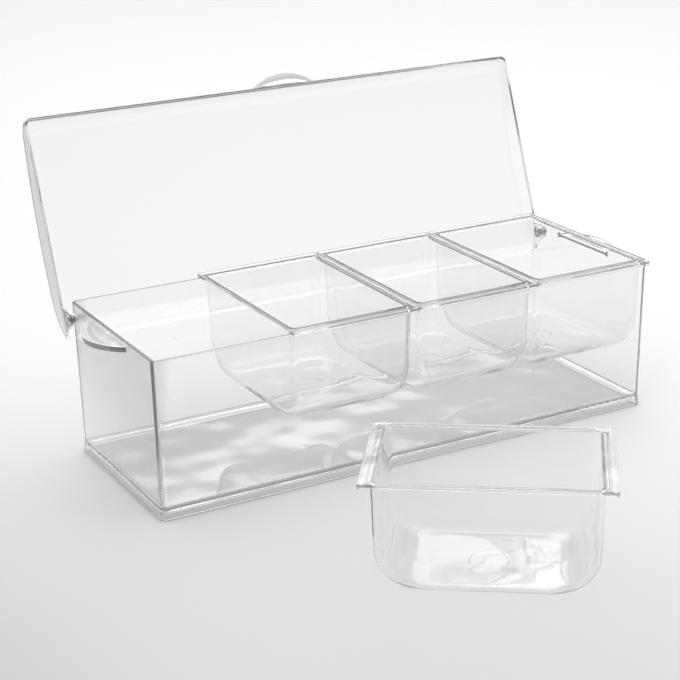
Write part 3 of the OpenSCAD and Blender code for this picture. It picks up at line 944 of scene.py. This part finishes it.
def add_camera(stage):
    """A camera from its place, yaw, pitch and roll: it looks along (sin y cos p, cos y cos p, -sin p)."""
    yaw, pitch, roll = stage.camera_yaw, stage.camera_pitch, stage.camera_roll
    forward = Vector((math.sin(yaw) * math.cos(pitch), math.cos(yaw) * math.cos(pitch), -math.sin(pitch)))
    level = Vector((math.cos(yaw), -math.sin(yaw), 0.0))
    upright = level.cross(forward)
    right = math.cos(roll) * level + math.sin(roll) * upright
    up = math.cos(roll) * upright - math.sin(roll) * level
    turn = Matrix((right, up, -forward)).transposed().to_4x4()
    data = bpy.data.cameras.new("view")
    data.sensor_width = 36.0
    data.lens = stage.lens
    data.clip_end = 100.0
    camera = add_object("view", data)
    camera.matrix_world = Matrix.Translation(Vector(stage.camera_place)) @ turn
    bpy.context.scene.camera = camera


def add_floor(stage, rings=24, steps=96):
    """A round floor just under the part, as rings that widen with their distance."""
    a = np.linspace(0, 2 * math.pi, steps, endpoint=False)
    radius = np.geomspace(FLOOR_MIDDLE, stage.floor_radius, rings)[:, None]
    grid = np.stack((radius * np.cos(a), radius * np.sin(a), np.full((rings, steps), -FLOOR_GAP)), axis=2)
    faces = skin_faces(rings, steps, False)
    faces.pop()
    mesh = bpy.data.meshes.new("studio_floor")
    mesh.from_pydata(grid.reshape(-1, 3).tolist(), [], [face[::-1] for face in faces])
    mesh.materials.append(floor_material(stage))
    floor = add_object("studio_floor", mesh)


def around(tree, direction, start, end, low, high):
    """A value that goes from low to high as the cosine to a direction goes from start to end."""
    return faded(tree, Vector(direction).normalized(), start, end, low, high, "Generated")


def add_world(stage):
    """Level light for matt surfaces, and a pale studio for the camera, in reflections and through plastic.

    The studio is bright behind and overhead and dimmer on the camera's side. A softbox overhead shows only in
    reflections.
    """
    world = bpy.data.worlds.new("studio")
    bpy.context.scene.world = world
    world.use_nodes = True
    tree = world.node_tree
    tree.nodes.clear()
    path = node(tree, "ShaderNodeLightPath").outputs
    glossy = path["Is Glossy Ray"]
    studio = around(tree, *STUDIO_WALL, stage.room, stage.wall)
    box = around(tree, *STUDIO_SOFTBOX, 0.0, stage.softbox)
    seen = combined(tree, "MULTIPLY_ADD", box, glossy, studio)
    clear = combined(tree, "MAXIMUM", glossy, path["Is Transmission Ray"])
    clear = combined(tree, "MAXIMUM", path["Is Camera Ray"], clear)
    level = node(tree, "ShaderNodeMix", {"Factor": clear, "A": stage.sky, "B": seen}, data_type="FLOAT")
    sky = node(tree, "ShaderNodeBackground", {"Strength": level.outputs["Result"]})
    node(tree, "ShaderNodeOutputWorld", {"Surface": sky.outputs[0]})


def add_lamp(stage):
    """A large square soft lamp above, which faces the part."""
    data = bpy.data.lights.new("key", "AREA")
    data.size = stage.key_size
    data.energy = stage.key_power
    lamp = add_object("key", data)
    lamp.location = stage.key_place
    lamp.rotation_mode = "QUATERNION"
    lamp.rotation_quaternion = (-lamp.location).to_track_quat("-Z", "Y")


# ---- Operators ----


class CaddyStageOperator(bpy.types.Operator):
    """Sets up the camera, the floor, the world and the lamp"""

    bl_idname = "caddy.stage"
    bl_label = "Stage"

    def execute(self, context):
        scene = context.scene
        stage = scene.caddy_stage
        add_camera(stage)
        add_floor(stage)
        add_world(stage)
        add_lamp(stage)
        scene.view_settings.view_transform = "Standard"
        scene.cycles.max_bounces = stage.light_turns
        scene.cycles.transmission_bounces = stage.light_turns
        scene.cycles.glossy_bounces = stage.light_turns
        scene.cycles.transparent_max_bounces = stage.clear_turns
        return {"FINISHED"}


class CaddyPlasticOperator(bpy.types.Operator):
    """Makes the clear plastics of the tray, the lid and the bins"""

    bl_idname = "caddy.plastic"
    bl_label = "Clear plastic"

    def execute(self, context):
        finish = context.scene.caddy_finish
        moulded_surface_group()
        tray = clear_plastic("tray", finish, finish.tray_wave, finish.wave_height, finish.scuffing)
        shade_tray(tray, finish)
        # The tab gets a greyer copy of the lid's plastic, as painted shade
        for part in ("lid", "tab"):
            clear_plastic(part, finish, finish.lid_wave, finish.lid_wave_height, finish.lid_scuffing)
        clear_plastic("bin", finish, finish.bin_wave, finish.wave_height, finish.scuffing)
        return {"FINISHED"}


class CaddyTrayOperator(bpy.types.Operator):
    """Builds the tray with its handles and studs"""

    bl_idname = "caddy.tray"
    bl_label = "Tray"

    def execute(self, context):
        size = context.scene.caddy_tray
        material = bpy.data.materials["tray_plastic"]
        shell = add_skin("tray_shell", tray_grid(size), "tray", material)
        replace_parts(shell, "tray")
        for end, sign in BOTH_ENDS:
            for piece, grid in (("handle", handle_grid(size)), ("stud", stud_grid(size))):
                add_skin(f"tray_{piece}_{end}", grid * (sign, 1, 1), "tray", material, inside_out=sign > 0)
        return {"FINISHED"}


class CaddyLidOperator(bpy.types.Operator):
    """Builds the lid with its ears and finger tab"""

    bl_idname = "caddy.lid"
    bl_label = "Lid"

    def execute(self, context):
        size = context.scene.caddy_lid
        material = bpy.data.materials["lid_plastic"]
        shell = add_skin("lid_shell", lid_grid(size), "lid", material)
        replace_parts(shell, "lid")
        # The tab takes the greyer copy of the lid's plastic, which is painted shade
        add_skin("lid_tab", tab_grid(size), "lid", bpy.data.materials["tab_plastic"])
        for end, sign in BOTH_ENDS:
            grid = ear_grid(size) * (sign, 1, 1)
            add_skin(f"lid_ear_{end}", grid, "lid", material, closed=True, inside_out=sign < 0)
        return {"FINISHED"}


class CaddyBinsOperator(bpy.types.Operator):
    """Builds the three seated bins and the bin in front"""

    bl_idname = "caddy.bins"
    bl_label = "Bins"

    def execute(self, context):
        size = context.scene.caddy_bins
        material = bpy.data.materials["bin_plastic"]
        grid = bin_grid(size)
        for name in SEATED_BINS:
            low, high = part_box(name)
            place = np.array(((low.x + high.x) / 2, (low.y + high.y) / 2, low.z))
            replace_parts(add_skin(f"{name}_shell", grid + place, name, material), name)
        turn = np.array(Matrix.Rotation(size.front_turn, 3, "Z"))
        loose = grid @ turn.T + (size.front_x, size.front_y, 0)
        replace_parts(add_skin(f"{FRONT_BIN}_shell", loose, FRONT_BIN, material), FRONT_BIN)
        return {"FINISHED"}


class CADDY_PT_panel(bpy.types.Panel):
    """Lists the parts of the caddy"""

    bl_label = "Condiment caddy"
    bl_idname = "CADDY_PT_panel"
    bl_space_type = "VIEW_3D"
    bl_region_type = "UI"
    bl_category = "Caddy"

    def draw(self, context):
        for operator in OPERATORS:
            self.layout.operator(operator.bl_idname)


OPERATORS = (CaddyStageOperator, CaddyPlasticOperator, CaddyTrayOperator, CaddyLidOperator, CaddyBinsOperator)
GROUPS = {
    "caddy_tray": CaddyTraySizes,
    "caddy_lid": CaddyLidSizes,
    "caddy_bins": CaddyBinSizes,
    "caddy_finish": CaddyFinish,
    "caddy_stage": CaddyStage,
}


def register():
    """Registers the classes and hangs the property groups on the scene."""
    for cls in (*GROUPS.values(), *OPERATORS, CADDY_PT_panel):
        bpy.utils.register_class(cls)
    for name, group in GROUPS.items():
        setattr(bpy.types.Scene, name, PointerProperty(type=group))


def unregister():
    """Takes the property groups and the classes away again."""
    for name in GROUPS:
        delattr(bpy.types.Scene, name)
    for cls in (CADDY_PT_panel, *reversed(OPERATORS), *reversed(list(GROUPS.values()))):
        bpy.utils.unregister_class(cls)


def main():
    """Builds everything in order."""
    register()
    bpy.ops.caddy.stage()
    bpy.ops.caddy.plastic()
    bpy.ops.caddy.tray()
    bpy.ops.caddy.lid()
    bpy.ops.caddy.bins()


if __name__ == "__main__":
    main()
